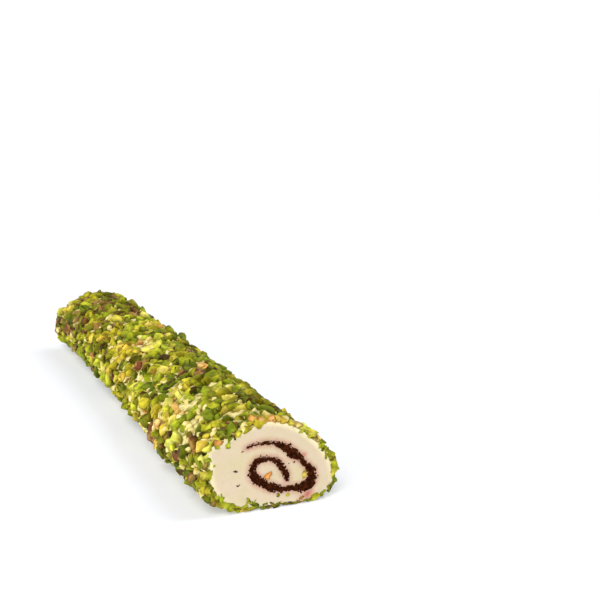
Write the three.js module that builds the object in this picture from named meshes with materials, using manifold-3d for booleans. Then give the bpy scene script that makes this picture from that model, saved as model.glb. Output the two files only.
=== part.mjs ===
// A roll of Turkish delight: pale whipped nougat rolled up round one thin sheet of dark cocoa filling,
// pressed into chopped pistachio and cut straight at both ends.
// Millimetres, +Z up. The roll lies along Y on its flattened underside, clean cut end towards -Y,
// and the origin is under its middle, on the surface it lies on.
import * as THREE from "three";
import { mergeVertices } from "three/addons/utils/BufferGeometryUtils.js";
import Module from "manifold-3d";

// ---- Driving dimensions ----
const ROLL_LENGTH = 200;
const ROLL_WIDTH = 45; // over the nuts, at the clean cut end
const CROWN_RISE = 17.6; // from the widest line up to the crown, over the nuts
const BELLY_DROP = 11.4; // from the widest line down to the surface it lies on
const SHOULDER_DROOP = 2.2; // the widest line stands this much higher on the left and lower on the right

// How full each quarter of the section is, as a superellipse exponent: 2 is an ellipse, more is squarer.
const FULLNESS = { crownLeft: 1.8, crownRight: 1.6, bellyLeft: 3.5, bellyRight: 3.2 };

// The roll is widest where the knife pressed it at its clean cut end, and slims down away from it.
const CUT_FLARE = 0.1;
const FLARE_REACH = 60;
const SIDEWAYS_SWAY = 0.8; // the middle lies this far to the right of the ends
const LUMP_HEIGHT = 0.35; // slow swells of the hand-rolled surface
const PRESSED_FLAT = 0.5; // how much of the underside its own weight has flattened

// The small nuts make a lumpy bed that the larger nibs stand out of.
const NIB_STAND = 1.15; // how deep the bed lies under the outermost nibs
const BED_LUMPS = 0.4; // how far its surface strays in and out
const NIB_COUNT = 330;
const RESTING_SLOPE = -0.8; // where the surface faces down more than this, the nibs are pressed flat

// Kinds of larger nib: share of them all, how many sides, and length, width and height.
const NIB_KINDS = [
  { share: 0.2, sides: 5, size: [8.0, 5.0, 3.4] }, // half kernels
  { share: 0.5, sides: 4, size: [6.2, 4.8, 3.0] }, // chunks
  { share: 0.3, sides: 4, size: [8.2, 3.6, 2.8] }, // slivers
];
const NIB_TOP = 0.36; // radius of a nib's top, as a share of its length and width
const NIB_BASE = 0.56; // and of its buried base
const NIB_CROWN = 1.25; // the middle of the top is this much higher than its rim
const NIB_SIZE_SPREAD = 0.22;
const NIB_CORNER_SPREAD = 0.14;
const NIB_TILT = 0.25; // radians

// The dark sheet seen at the cut: across, up and thickness, from its outer end to its inner end.
const SWIRL_PATH = [
  [-7.1, 20.0, 0.7],
  [-3.0, 20.9, 0.8],
  [1.5, 20.3, 1.0],
  [4.5, 19.0, 1.7],
  [7.2, 16.8, 2.4],
  [9.8, 14.4, 1.3],
  [12.3, 11.2, 1.5],
  [13.6, 8.6, 2.4],
  [12.3, 6.0, 2.9],
  [9.0, 5.3, 1.8],
  [4.5, 5.8, 1.4],
  [0.3, 6.8, 2.0],
  [-4.0, 9.8, 2.2],
  [-5.6, 12.8, 1.4],
  [-4.2, 15.6, 1.5],
  [-0.9, 15.9, 1.1],
  [2.9, 14.1, 1.4],
  [4.6, 11.2, 1.4],
  [5.6, 8.2, 0.9],
];
const SWIRL_CLEARANCE = 0.3; // between the dark sheet and the nougat that it lies in

// ---- Fineness of the faceted solids ----
const SECTION_SIDES = 26;
const CORE_STEPS = 24;
const SWIRL_SAMPLES = 36;
const SWIRL_STEPS = 6;
const END_ALLOWANCE = 2; // what the knife takes off each end

const wasm = await Module();
wasm.setup();

// The same draw every time: a number from 0 up to 1.
let seed = 20417;
function draw() {
  seed = (seed * 1664525 + 1013904223) >>> 0;
  return seed / 4294967296;
}
const drawBetween = (low, high) => low + (high - low) * draw();

const powerOf = (value, exponent) => Math.sign(value) * Math.abs(value) ** exponent;

// A point of the section over the nuts, or this far inside it: x across, y up.
function sectionPoint(angle, inset) {
  const across = Math.cos(angle);
  const up = Math.sin(angle);
  const halfWidth = ROLL_WIDTH / 2 - inset;
  const rise = up > 0 ? CROWN_RISE - inset : BELLY_DROP + PRESSED_FLAT;
  const side = across < 0 ? "Left" : "Right";
  const exponent = 2 / FULLNESS[(up > 0 ? "crown" : "belly") + side];
  const droop = SHOULDER_DROOP * powerOf(across, exponent) * (1 - up * up);
  return new THREE.Vector3(
    halfWidth * powerOf(across, exponent),
    BELLY_DROP + rise * powerOf(up, exponent) - droop,
    0,
  );
}

function sectionCurve(inset) {
  const corners = 72; // enough for the spline to run smoothly through the quarters
  const points = Array.from({ length: corners }, (_, i) => sectionPoint((i / corners) * 2 * Math.PI, inset));
  return new THREE.CatmullRomCurve3(points, true);
}

// Moves a point of the straight, even roll to where it is on the real one.
function placeOnRoll(point) {
  const fromCut = point.y + ROLL_LENGTH / 2;
  const size = 1 - CUT_FLARE * (1 - Math.exp(-Math.max(fromCut, 0) / FLARE_REACH));
  const angle = Math.atan2(point.z - BELLY_DROP, point.x);
  const lump = Math.sin(2 * angle + point.y / 23) + 0.7 * Math.sin(3 * angle - point.y / 13);
  const swell = 1 + (LUMP_HEIGHT * lump * Math.hypot(point.x, point.z - BELLY_DROP)) / (ROLL_WIDTH / 2) ** 2;
  point.x = point.x * size * swell + SIDEWAYS_SWAY * (1 - ((2 * point.y) / ROLL_LENGTH) ** 2);
  point.z = (BELLY_DROP + (point.z - BELLY_DROP) * swell) * size;
  return point;
}

// An outline drawn across the roll, run along it for the whole length and past both ends by `past`.
function runAlongRoll(outline, steps, past) {
  const geometry = new THREE.ExtrudeGeometry(new THREE.Shape(outline), {
    depth: ROLL_LENGTH + 2 * past,
    steps,
    bevelEnabled: false,
  });
  geometry.rotateX(Math.PI / 2);
  geometry.translate(0, ROLL_LENGTH / 2 + past, 0);
  const position = geometry.getAttribute("position");
  const vertex = new THREE.Vector3();
  for (let i = 0; i < position.count; i++) {
    placeOnRoll(vertex.fromBufferAttribute(position, i));
    position.setXYZ(i, vertex.x, vertex.y, vertex.z);
  }
  return geometry;
}

function onlyPositions(geometry) {
  const bare = geometry.clone();
  bare.deleteAttribute("normal");
  bare.deleteAttribute("uv");
  return mergeVertices(bare);
}

function toSolid(geometry) {
  const merged = onlyPositions(geometry);
  return new wasm.Manifold(
    new wasm.Mesh({
      numProp: 3,
      vertProperties: new Float32Array(merged.getAttribute("position").array),
      triVerts: new Uint32Array(merged.index.array),
    }),
  );
}

function toGeometry(solid) {
  const { vertProperties, triVerts } = solid.getMesh();
  const geometry = new THREE.BufferGeometry();
  geometry.setAttribute("position", new THREE.BufferAttribute(new Float32Array(vertProperties), 3));
  geometry.setIndex(new THREE.BufferAttribute(new Uint32Array(triVerts), 1));
  geometry.computeVertexNormals();
  return geometry;
}

// ---- The dark sheet ----
// Both faces of the sheet and its two edges, `spare` bigger all round.
function swirlOutline(spare) {
  const stations = SWIRL_PATH.map(([across, up, thickness]) => new THREE.Vector3(across, up, thickness));
  const path = new THREE.CatmullRomCurve3(stations);
  const outer = [];
  const inner = [];
  for (let i = 0; i <= SWIRL_SAMPLES; i++) {
    const { x, y, z: thickness } = path.getPoint(i / SWIRL_SAMPLES);
    const tangent = path.getTangent(i / SWIRL_SAMPLES);
    const along = new THREE.Vector2(tangent.x, tangent.y).normalize();
    const edge = i === 0 ? -spare : i === SWIRL_SAMPLES ? spare : 0;
    const half = thickness / 2 + spare;
    const middle = new THREE.Vector2(x, y).addScaledVector(along, edge);
    outer.push(new THREE.Vector2(middle.x - along.y * half, middle.y + along.x * half));
    inner.push(new THREE.Vector2(middle.x + along.y * half, middle.y - along.x * half));
  }
  return [...inner, ...outer.reverse()];
}

// ---- The nougat in its bed of small nuts ----
function coatedCore() {
  const ring = sectionCurve(NIB_STAND).getSpacedPoints(SECTION_SIDES).slice(0, SECTION_SIDES);
  const outline = ring.map((point) => new THREE.Vector2(point.x, point.y));
  const core = onlyPositions(runAlongRoll(outline, CORE_STEPS, END_ALLOWANCE));
  const position = core.getAttribute("position");
  for (let i = 0; i < position.count; i++) {
    const lump = drawBetween(-BED_LUMPS, BED_LUMPS);
    if (position.getZ(i) < PRESSED_FLAT) continue;
    const outward = new THREE.Vector2(position.getX(i), position.getZ(i) - BELLY_DROP).normalize();
    position.setX(i, position.getX(i) + outward.x * lump);
    position.setZ(i, position.getZ(i) + outward.y * lump);
  }
  return toSolid(core);
}

// ---- The larger nibs ----
// One chopped piece, lying flat round the origin.
function nibGeometry({ sides, size }) {
  const nib = onlyPositions(new THREE.CylinderGeometry(NIB_TOP, NIB_BASE, 1, sides).rotateX(Math.PI / 2));
  const position = nib.getAttribute("position");
  const grow = drawBetween(1 - NIB_SIZE_SPREAD, 1 + NIB_SIZE_SPREAD);
  const corner = () => grow * drawBetween(1 - NIB_CORNER_SPREAD, 1 + NIB_CORNER_SPREAD);
  for (let i = 0; i < position.count; i++) {
    const middle = Math.hypot(position.getX(i), position.getY(i)) < NIB_TOP / 2;
    position.setXYZ(
      i,
      position.getX(i) * size[0] * corner(),
      position.getY(i) * size[1] * corner(),
      position.getZ(i) * size[2] * corner() * (middle ? NIB_CROWN : 1),
    );
  }
  return nib;
}

function pickKind() {
  let rest = draw();
  return NIB_KINDS.find(({ share }) => (rest -= share) < 0) ?? NIB_KINDS[0];
}

// The nibs, spread evenly over the roll by the golden ratio, each turned its own way.
function scatteredNibs() {
  const golden = (Math.sqrt(5) - 1) / 2;
  const curve = sectionCurve(NIB_STAND);
  const nibs = [];
  for (let i = 0; i < NIB_COUNT; i++) {
    const turn = (i * golden) % 1;
    const y = ((i + drawBetween(0.1, 0.9)) / NIB_COUNT - 0.5) * ROLL_LENGTH;
    const { x, y: z } = curve.getPointAt(turn);
    const tangent = curve.getTangentAt(turn);
    const around = new THREE.Vector3(tangent.x, 0, tangent.y);
    const outward = new THREE.Vector3(tangent.y, 0, -tangent.x);
    const geometry = nibGeometry(pickKind());
    const spin = drawBetween(0, Math.PI);
    const lean = drawBetween(-NIB_TILT, NIB_TILT);
    if (outward.z < RESTING_SLOPE) continue;
    geometry.rotateX(lean);
    geometry.rotateZ(spin);
    geometry.applyMatrix4(new THREE.Matrix4().makeBasis(new THREE.Vector3(0, 1, 0), around, outward));
    const { x: px, z: pz } = placeOnRoll(new THREE.Vector3(x, y, z));
    geometry.translate(px, y, pz);
    nibs.push(toSolid(geometry));
  }
  return nibs;
}

// Everything between the two cuts and above the surface that the roll lies on.
function cutBlock() {
  const height = 2 * (CROWN_RISE + BELLY_DROP);
  const block = new THREE.BoxGeometry(2 * ROLL_WIDTH, ROLL_LENGTH, height);
  block.translate(0, 0, height / 2);
  return toSolid(block);
}

function coatedNougat() {
  const coated = wasm.Manifold.union([coatedCore(), ...scatteredNibs()]);
  const channel = toSolid(runAlongRoll(swirlOutline(SWIRL_CLEARANCE), SWIRL_STEPS, END_ALLOWANCE));
  const trimmed = coated.intersect(cutBlock()).subtract(channel);
  // Loose scraps and hollows that the nibs closed over are left out.
  const pieces = trimmed.decompose();
  return pieces.reduce((largest, piece) => (piece.volume() > largest.volume() ? piece : largest));
}

// ---- The part ----
const roll = new THREE.Group();

const nougat = new THREE.Mesh(
  toGeometry(coatedNougat()),
  new THREE.MeshStandardMaterial({ color: 0x9aa83a, roughness: 0.65, metalness: 0 }),
);
nougat.name = "pistachio_nougat";
roll.add(nougat);

const swirl = new THREE.Mesh(
  runAlongRoll(swirlOutline(0), SWIRL_STEPS, 0),
  new THREE.MeshStandardMaterial({ color: 0x3b1712, roughness: 0.8, metalness: 0 }),
);
swirl.name = "cocoa_swirl";
roll.add(swirl);

export default roll;
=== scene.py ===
import math

import bpy
import numpy as np
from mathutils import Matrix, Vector, noise


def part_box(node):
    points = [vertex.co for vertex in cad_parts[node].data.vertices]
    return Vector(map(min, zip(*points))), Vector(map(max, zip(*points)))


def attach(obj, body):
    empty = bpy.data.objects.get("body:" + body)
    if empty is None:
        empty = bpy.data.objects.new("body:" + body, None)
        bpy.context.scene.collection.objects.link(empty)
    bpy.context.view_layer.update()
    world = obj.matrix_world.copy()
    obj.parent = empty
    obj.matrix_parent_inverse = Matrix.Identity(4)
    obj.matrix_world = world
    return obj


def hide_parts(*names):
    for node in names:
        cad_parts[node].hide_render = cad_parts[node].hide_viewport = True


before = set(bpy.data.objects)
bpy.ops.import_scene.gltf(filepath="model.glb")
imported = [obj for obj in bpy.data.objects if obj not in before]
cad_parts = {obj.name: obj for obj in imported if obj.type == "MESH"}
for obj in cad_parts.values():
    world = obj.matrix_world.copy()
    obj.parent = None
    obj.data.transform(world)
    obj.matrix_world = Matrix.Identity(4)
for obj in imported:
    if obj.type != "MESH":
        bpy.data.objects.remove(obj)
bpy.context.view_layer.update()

# ------------------------------
# Camera: a short tele lens held low over the table, in front of the clean cut end and to its
# left, so that the cut face and the whole left side of the roll show.
# ------------------------------
EYE = (-0.12037, -0.39375, 0.13710)
LENS_MM = 69.0
SWING_DEG = 23.78   # how far the view turns to the right of the roll's own axis
DIP_DEG = 13.06     # how far it looks down
CANT_DEG = 0.27

bpy.ops.object.camera_add(
    location=EYE,
    rotation=(math.radians(90 - DIP_DEG), math.radians(-CANT_DEG), math.radians(-SWING_DEG)),
)
camera = bpy.context.object
camera.name = "camera"
camera.data.lens = LENS_MM
camera.data.sensor_width = 36.0
camera.data.clip_start = 0.01
camera.data.clip_end = 50.0
bpy.context.scene.camera = camera
bpy.context.scene.view_settings.view_transform = "Standard"
bpy.context.scene.view_settings.look = "None"

# ------------------------------
# Table and light: a plain white top in a white tent, with one very large soft lamp high in front
# on the left, a second one high on the right, and a weak fill low on the left.
# ------------------------------
TABLE_RADIUS = 3.0
TABLE_CORNERS = 96
TABLE_COLOUR = "d9dbe1"
TABLE_GLOW = 0.28           # the top is lit from below as well, which keeps the shadows light
GLOW_COLOUR = (0.97, 0.98, 1.0, 1.0)
TENT_COLOUR = (0.98, 0.99, 1.0, 1.0)
HORIZON_STRENGTH = 1.04     # the tent is bright low down, up to this sine of the height
HORIZON_TOP = 0.06
ZENITH_STRENGTH = 0.26      # and dimmer overhead, from this one
ZENITH_BOTTOM = 0.45
KEY_STRENGTH = 2.04
KEY_ANGLE_DEG = 28          # a very large soft lamp
KEY_COLOUR = (1.0, 0.985, 0.96)
KEY_FROM = (-0.38, -0.60, 0.66)
RIM_STRENGTH = 1.15         # a second lamp high on the right, which edges the nuts
RIM_ANGLE_DEG = 42
RIM_FROM = (0.56, -0.12, 0.80)
FILL_WATTS = 1.6
FILL_SIZE = 0.4
FILL_PLACE = (-0.45, -0.30, 0.12)
FILL_AIM = (-0.02, -0.03, 0.01)


def colour(hex_code):
    """A display colour such as 'c8b040' as the linear colour that a shader takes."""
    shares = [int(hex_code[i:i + 2], 16) / 255 for i in (0, 2, 4)]
    return [c / 12.92 if c <= 0.04045 else ((c + 0.055) / 1.055) ** 2.4 for c in shares] + [1.0]


def add_node(tree, kind, values=None, feeds=None):
    """A node with these values on its sockets, and these outputs of other nodes led into it."""
    node = tree.nodes.new("ShaderNode" + kind)
    for socket, value in (values or {}).items():
        node.inputs[socket].default_value = value
    for socket, source in (feeds or {}).items():
        tree.links.new(source, node.inputs[socket])
    return node


def map_range(tree, value, from_low, from_high, to_low=0.0, to_high=1.0):
    """Stretches one range of a factor over another, and holds it there."""
    ends = {"From Min": from_low, "From Max": from_high, "To Min": to_low, "To Max": to_high}
    return add_node(tree, "MapRange", ends, {"Value": value}).outputs["Result"]


def new_material(name, roughness, shine):
    """A material, its node tree and its shader."""
    material = bpy.data.materials.new(name)
    material.use_nodes = True
    shader = material.node_tree.nodes["Principled BSDF"]
    shader.inputs["Roughness"].default_value = roughness
    shader.inputs["Specular IOR Level"].default_value = shine
    return material, material.node_tree, shader


def sun_lamp(name, strength, angle_deg, side):
    """A lamp that lights all of the roll alike from this side, and looks as wide as this angle."""
    bpy.ops.object.light_add(type="SUN", location=side)
    lamp = bpy.context.object
    lamp.name = name
    lamp.data.energy = strength
    lamp.data.angle = math.radians(angle_deg)
    lamp.rotation_euler = (-Vector(side)).to_track_quat("-Z", "Y").to_euler()
    return lamp


bpy.ops.mesh.primitive_circle_add(vertices=TABLE_CORNERS, radius=TABLE_RADIUS, fill_type="NGON")
table = bpy.context.object
table.name = "table"
table_white, _, shader = new_material("table_white", 0.6, 0.0)
shader.inputs["Base Color"].default_value = colour(TABLE_COLOUR)
shader.inputs["Emission Color"].default_value = GLOW_COLOUR
shader.inputs["Emission Strength"].default_value = TABLE_GLOW
table.data.materials.append(table_white)

world = bpy.data.worlds.new("tent")
world.use_nodes = True
tent = world.node_tree
way = add_node(tent, "TexCoord").outputs["Generated"]
height = add_node(tent, "SeparateXYZ", feeds={"Vector": way}).outputs["Z"]
strength = map_range(
    tent, height, HORIZON_TOP, ZENITH_BOTTOM, HORIZON_STRENGTH, ZENITH_STRENGTH,
)
tent.links.new(strength, tent.nodes["Background"].inputs["Strength"])
tent.nodes["Background"].inputs["Color"].default_value = TENT_COLOUR
bpy.context.scene.world = world

key = sun_lamp("key_lamp", KEY_STRENGTH, KEY_ANGLE_DEG, KEY_FROM)
key.data.color = KEY_COLOUR
sun_lamp("rim_lamp", RIM_STRENGTH, RIM_ANGLE_DEG, RIM_FROM)

bpy.ops.object.light_add(type="AREA", location=FILL_PLACE)
fill = bpy.context.object
fill.name = "fill_lamp"
fill.data.energy = FILL_WATTS
fill.data.shape = "DISK"
fill.data.size = FILL_SIZE
fill.rotation_euler = (Vector(FILL_AIM) - Vector(FILL_PLACE)).to_track_quat("-Z", "Y").to_euler()

# ------------------------------
# Nougat: a soft whipped slab of sugar and egg white, rolled up by hand and settled flat on its
# underside. It is drawn as one section and pulled along the roll step by step, and its cuts are
# left nearly flat. The next section opens it for the filling.
# ------------------------------
MM = 0.001
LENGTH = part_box("pistachio_nougat")[1].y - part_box("pistachio_nougat")[0].y
WIDTH = 45 * MM             # over the nuts, at the clean cut end
CROWN_RISE = 17.6 * MM      # from the widest line up to the crown
BELLY_DROP = 11.4 * MM      # and down to the table
SHOULDER_DROOP = 2.2 * MM
# The power of each quarter's outline: 2 is an ellipse, more is squarer.
FULLNESS = {"crown_left": 1.8, "crown_right": 1.6, "belly_left": 3.5, "belly_right": 3.2}
CUT_FLARE = 0.1             # the knife has spread the clean cut end by this share
FLARE_REACH = 60 * MM
SIDEWAYS_SWAY = 0.8 * MM
FLANK_SPREAD = 3.0 * MM     # the left flank has spread this much more where the roll was pressed
SPREAD_AT = -55 * MM
SPREAD_REACH = 45 * MM
SPREAD_POWER = 3            # most at the flank, hardly at all at the crown
FAR_END_DROOP = 0.05        # the far cut has sunk by this share
FAR_END_SPREAD = 2.0 * MM   # and spread to the left by this much
DROOP_REACH = 6 * MM
# How deep the nougat lies under the outermost nuts, by direction: right, up, left, down.
COAT_TURNS = [0, 45, 90, 130, 150, 165, 180, 195, 230, 260, 290, 330]
COAT_DEPTHS_MM = [2.3, 2.4, 1.9, 1.7, 1.9, 2.3, 2.8, 3.0, 3.0, 1.7, 0.7, 1.5]
CUT_DEPTHS_MM = [2.3, 2.4, 1.9, 1.7, 0.6, 4.1, 4.8, 4.8, 3.8, 1.7, 0.7, 1.5]  # at the clean cut
CUT_DEPTHS_REACH = 4 * MM
OUTLINE_CORNERS = 2880      # fine enough to measure along the outline
CUT_OUTLINE_CORNERS = 720
OUTWARD_STEPS = 400         # the outward direction is read over one such part of the girth
NOUGAT_RIM = 200            # corners round the section, a multiple of 4 for its grid of faces
NOUGAT_STEPS = 90
NOUGAT_SWELL = 1.9 * MM
NOUGAT_SWELL_SPAN = 4 * MM
NOUGAT_GRAIN = 0.16 * MM
NOUGAT_GRAIN_SPAN = 1.1 * MM
CUT_UNEVEN = 0.05           # the knife leaves this share of the swell on the cuts


def raised(value, power):
    """A power that keeps the sign."""
    return np.sign(value) * np.abs(value) ** power


def section(angle, inset):
    """Points across and up on the roll's outline, this far inside the outermost nuts."""
    across, up = np.cos(angle), np.sin(angle)
    left, above = across < 0, up > 0
    crown = np.where(left, FULLNESS["crown_left"], FULLNESS["crown_right"])
    belly = np.where(left, FULLNESS["belly_left"], FULLNESS["belly_right"])
    power = 2 / np.where(above, crown, belly)
    rise = np.where(above, CROWN_RISE, BELLY_DROP) - inset
    out = raised(across, power)
    droop = SHOULDER_DROOP * out * (1 - up * up)
    return (WIDTH / 2 - inset) * out, BELLY_DROP + rise * raised(up, power) - droop


def coat_depth(angle, depths=COAT_DEPTHS_MM):
    """How deep the nougat lies in this direction, in metres."""
    return np.interp(np.degrees(angle), COAT_TURNS, depths, period=360) * MM


def round_section(turn, coats, inset, deepest=1.0, depths=COAT_DEPTHS_MM):
    """Place and outward direction at this share of the way round, this many coats and inset deep."""
    angle = np.linspace(0, 2 * math.pi, OUTLINE_CORNERS + 1)
    x, z = section(angle, np.minimum(coats * coat_depth(angle, depths) + inset, deepest))
    way = np.concatenate([[0], np.cumsum(np.hypot(np.diff(x), np.diff(z)))])
    want = np.mod(turn, 1) * way[-1]
    reach = way[-1] / OUTWARD_STEPS
    ahead = np.mod(want + reach, way[-1])
    behind = np.mod(want - reach, way[-1])
    out_x = np.interp(ahead, way, z) - np.interp(behind, way, z)
    out_z = np.interp(behind, way, x) - np.interp(ahead, way, x)
    size = np.hypot(out_x, out_z)
    return np.interp(want, way, x), np.interp(want, way, z), out_x / size, out_z / size


def roll_sizes(y):
    """How wide and how high the roll is here, as shares of an even one, and how far it sways."""
    from_cut = np.maximum(y + LENGTH / 2, 0)
    from_far_cut = np.maximum(LENGTH / 2 - y, 0)
    size = 1 - CUT_FLARE * (1 - np.exp(-from_cut / FLARE_REACH))
    droop = 1 - FAR_END_DROOP * np.exp(-from_far_cut / DROOP_REACH)
    return size, size * droop, SIDEWAYS_SWAY * (1 - (2 * y / LENGTH) ** 2)


def on_roll(x, y, z):
    """Moves points of a straight, even roll to where they are on the real one."""
    wide, high, sway = roll_sizes(y)
    spread = FLANK_SPREAD * np.exp(-((y - SPREAD_AT) / SPREAD_REACH) ** 2)
    spread += FAR_END_SPREAD * np.exp(-np.maximum(LENGTH / 2 - y, 0) / DROOP_REACH)
    return x * wide + sway - spread * np.clip(-2 * x / WIDTH, 0, 1) ** SPREAD_POWER, y, z * high


def points_of(piece):
    """The places of a mesh's corners, a row each."""
    flat = np.empty(len(piece.data.vertices) * 3)
    piece.data.vertices.foreach_get("co", flat)
    return flat.reshape(-1, 3)


def move_points(piece, points):
    """Moves a mesh's corners to these places."""
    piece.data.vertices.foreach_set("co", np.ascontiguousarray(points).ravel())
    piece.data.update()


def drawn_along_roll(piece, start, end, steps):
    """Pulls a flat face standing across the roll out into a closed solid, in even steps."""
    bpy.ops.object.mode_set(mode="EDIT")
    bpy.ops.mesh.select_all(action="SELECT")
    step = (0, (end - start) / steps, 0)
    for _ in range(steps):
        bpy.ops.mesh.extrude_region_move(TRANSFORM_OT_translate={"value": step})
    bpy.ops.mesh.select_all(action="SELECT")
    bpy.ops.mesh.normals_make_consistent(inside=False)
    bpy.ops.object.mode_set(mode="OBJECT")
    move_points(piece, np.column_stack(on_roll(*points_of(piece).T)))


def edge_reach(turn, depths):
    """How far the nougat reaches from the middle of the widest line, in these directions."""
    angle = np.linspace(0, 2 * math.pi, CUT_OUTLINE_CORNERS + 1)
    x, z = section(angle, coat_depth(angle, depths))
    z = z - BELLY_DROP
    return np.interp(turn, np.arctan2(z, x), np.hypot(x, z), period=2 * math.pi)


def apply_modifier(piece, kind, **settings):
    """Adds a modifier with these settings and makes its result the mesh."""
    modifier = piece.modifiers.new(kind.lower(), kind)
    for name, value in settings.items():
        setattr(modifier, name, value)
    bpy.context.view_layer.objects.active = piece
    bpy.ops.object.modifier_apply(modifier=modifier.name)


def roughen(piece, span, height):
    """Raises and sinks the surface by a cloudy pattern of this span."""
    clouds = bpy.data.textures.new(piece.name + "_clouds", type="CLOUDS")
    clouds.noise_scale = span
    clouds.noise_depth = 2
    apply_modifier(
        piece, "DISPLACE", texture=clouds, texture_coords="LOCAL", strength=height, mid_level=0.5,
    )


bpy.ops.object.select_all(action="DESELECT")
bpy.ops.mesh.primitive_circle_add(vertices=NOUGAT_RIM, radius=WIDTH / 2, fill_type="NOTHING")
nougat = bpy.context.object
nougat.name = "nougat"
rim_x, rim_z, _, _ = round_section(np.arange(NOUGAT_RIM) / NOUGAT_RIM, 1, 0)
move_points(nougat, np.column_stack([rim_x, np.full(NOUGAT_RIM, -LENGTH / 2), rim_z]))
bpy.ops.object.mode_set(mode="EDIT")
bpy.ops.mesh.select_all(action="SELECT")
bpy.ops.mesh.fill_grid(span=NOUGAT_RIM // 4)
bpy.ops.object.mode_set(mode="OBJECT")
drawn_along_roll(nougat, -LENGTH / 2, LENGTH / 2, NOUGAT_STEPS)

# Near the clean cut the section eases over to the cut's own outline.
nougat_points = points_of(nougat)
turn = np.arctan2(nougat_points[:, 2] - BELLY_DROP, nougat_points[:, 0])
at_cut = np.exp(-(nougat_points[:, 1] + LENGTH / 2) / CUT_DEPTHS_REACH)
grown = 1 + (edge_reach(turn, CUT_DEPTHS_MM) / edge_reach(turn, COAT_DEPTHS_MM) - 1) * at_cut
nougat_points[:, 0] *= grown
nougat_points[:, 2] = BELLY_DROP + (nougat_points[:, 2] - BELLY_DROP) * grown
move_points(nougat, nougat_points)
roughen(nougat, NOUGAT_SWELL_SPAN, NOUGAT_SWELL)
roughen(nougat, NOUGAT_GRAIN_SPAN, NOUGAT_GRAIN)

# The knife has left both cuts nearly flat.
nougat_points = points_of(nougat)
cut = np.sign(nougat_points[:, 1]) * LENGTH / 2
at_cut = np.abs(nougat_points[:, 1] - cut) < NOUGAT_SWELL
nougat_points[at_cut, 1] = (cut + (nougat_points[:, 1] - cut) * CUT_UNEVEN)[at_cut]
move_points(nougat, nougat_points)

# ------------------------------
# Filling: one thin dark sheet of crumbly cocoa paste, spread on the slab before it was rolled.
# It is drawn as a ribbon across the roll, pulled along it, and given its crumbly faces. A slightly
# thinner ribbon opens the nougat for it, so that the nougat grips it all along.
# ------------------------------
SWIRL_PATH_MM = [  # across, up and thickness, from the outer end to the inner end
    (-7.1, 20.0, 0.5), (-5.3, 20.6, 0.8), (-2.8, 20.9, 0.8), (-0.3, 20.7, 0.9), (2.3, 20.1, 1.2),
    (4.5, 19.0, 1.9), (6.4, 17.5, 2.1), (7.9, 15.9, 2.6), (9.7, 14.9, 1.3), (10.8, 13.1, 1.3),
    (12.4, 11.2, 1.7), (13.5, 9.6, 2.2), (13.5, 8.0, 2.6), (12.7, 6.3, 3.1), (10.7, 5.2, 2.5),
    (7.8, 5.5, 1.6), (4.5, 5.8, 1.5), (2.0, 6.2, 1.9), (-0.3, 7.1, 2.1), (-2.5, 8.6, 2.2),
    (-4.5, 10.2, 2.4), (-5.5, 11.9, 1.7), (-5.4, 13.6, 1.7), (-4.6, 15.1, 1.6), (-2.9, 16.0, 1.5),
    (-0.9, 15.8, 1.2), (1.3, 15.3, 1.2), (2.9, 14.1, 1.5), (4.2, 12.0, 1.6), (5.2, 9.8, 1.3),
    (5.6, 8.2, 0.8),
]
RIBBON_LENGTHS = 360        # faces along the ribbon
RIBBON_WIDTHS = 6           # and through its thickness
SWIRL_STEPS = 60
SWIRL_PROUD = 0.10 * MM     # how far the filling stands out of the cut
SWIRL_THICKER = 0.01 * MM
SWIRL_CRUMBLE = 1.6 * MM
SWIRL_CRUMBLE_SPAN = 0.9 * MM
FINER = 3                   # the grit on the crumbles is this much finer, and half as high
CHANNEL_TIGHT = 0.25 * MM   # the nougat grips the filling by this much
CHANNEL_PROUD = 4 * MM      # the opening runs out past both cuts


def along_swirl(share):
    """Place, thickness and sideways direction of the ribbon at this share of its length."""
    stations = np.array(SWIRL_PATH_MM) * MM
    count = len(stations) - 1
    place = np.clip(share, 0, 1) * count
    i = np.minimum(place.astype(int), count - 1)
    t = (place - i)[:, None]
    p0, p1 = stations[np.maximum(i - 1, 0)], stations[i]
    p2, p3 = stations[i + 1], stations[np.minimum(i + 2, count)]
    square = 2 * p0 - 5 * p1 + 4 * p2 - p3
    cube = 3 * p1 - p0 - 3 * p2 + p3
    point = 0.5 * (2 * p1 + (p2 - p0) * t + square * t ** 2 + cube * t ** 3)
    slope = 0.5 * ((p2 - p0) + 2 * square * t + 3 * cube * t ** 2)
    sideways = np.column_stack([-slope[:, 1], slope[:, 0]])
    return point, sideways / np.linalg.norm(sideways, axis=1)[:, None]


def ribbon(name, spare, proud, steps):
    """The sheet as a closed solid, `spare` thicker on each face, standing `proud` of both cuts."""
    bpy.ops.object.select_all(action="DESELECT")
    bpy.ops.mesh.primitive_grid_add(x_subdivisions=RIBBON_LENGTHS, y_subdivisions=RIBBON_WIDTHS, size=2)
    piece = bpy.context.object
    piece.name = name
    flat = points_of(piece)
    point, sideways = along_swirl((flat[:, 0] + 1) / 2)
    offset = flat[:, 1] * (point[:, 2] / 2 + SWIRL_THICKER + spare)
    start = -LENGTH / 2 - proud
    move_points(piece, np.column_stack([
        point[:, 0] + sideways[:, 0] * offset,
        np.full(len(flat), start),
        point[:, 1] + sideways[:, 1] * offset,
    ]))
    drawn_along_roll(piece, start, -start, steps)
    return piece


swirl = ribbon("cocoa_filling", 0.0, SWIRL_PROUD, SWIRL_STEPS)
roughen(swirl, SWIRL_CRUMBLE_SPAN, SWIRL_CRUMBLE)
roughen(swirl, SWIRL_CRUMBLE_SPAN / FINER, SWIRL_CRUMBLE / 2)

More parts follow.
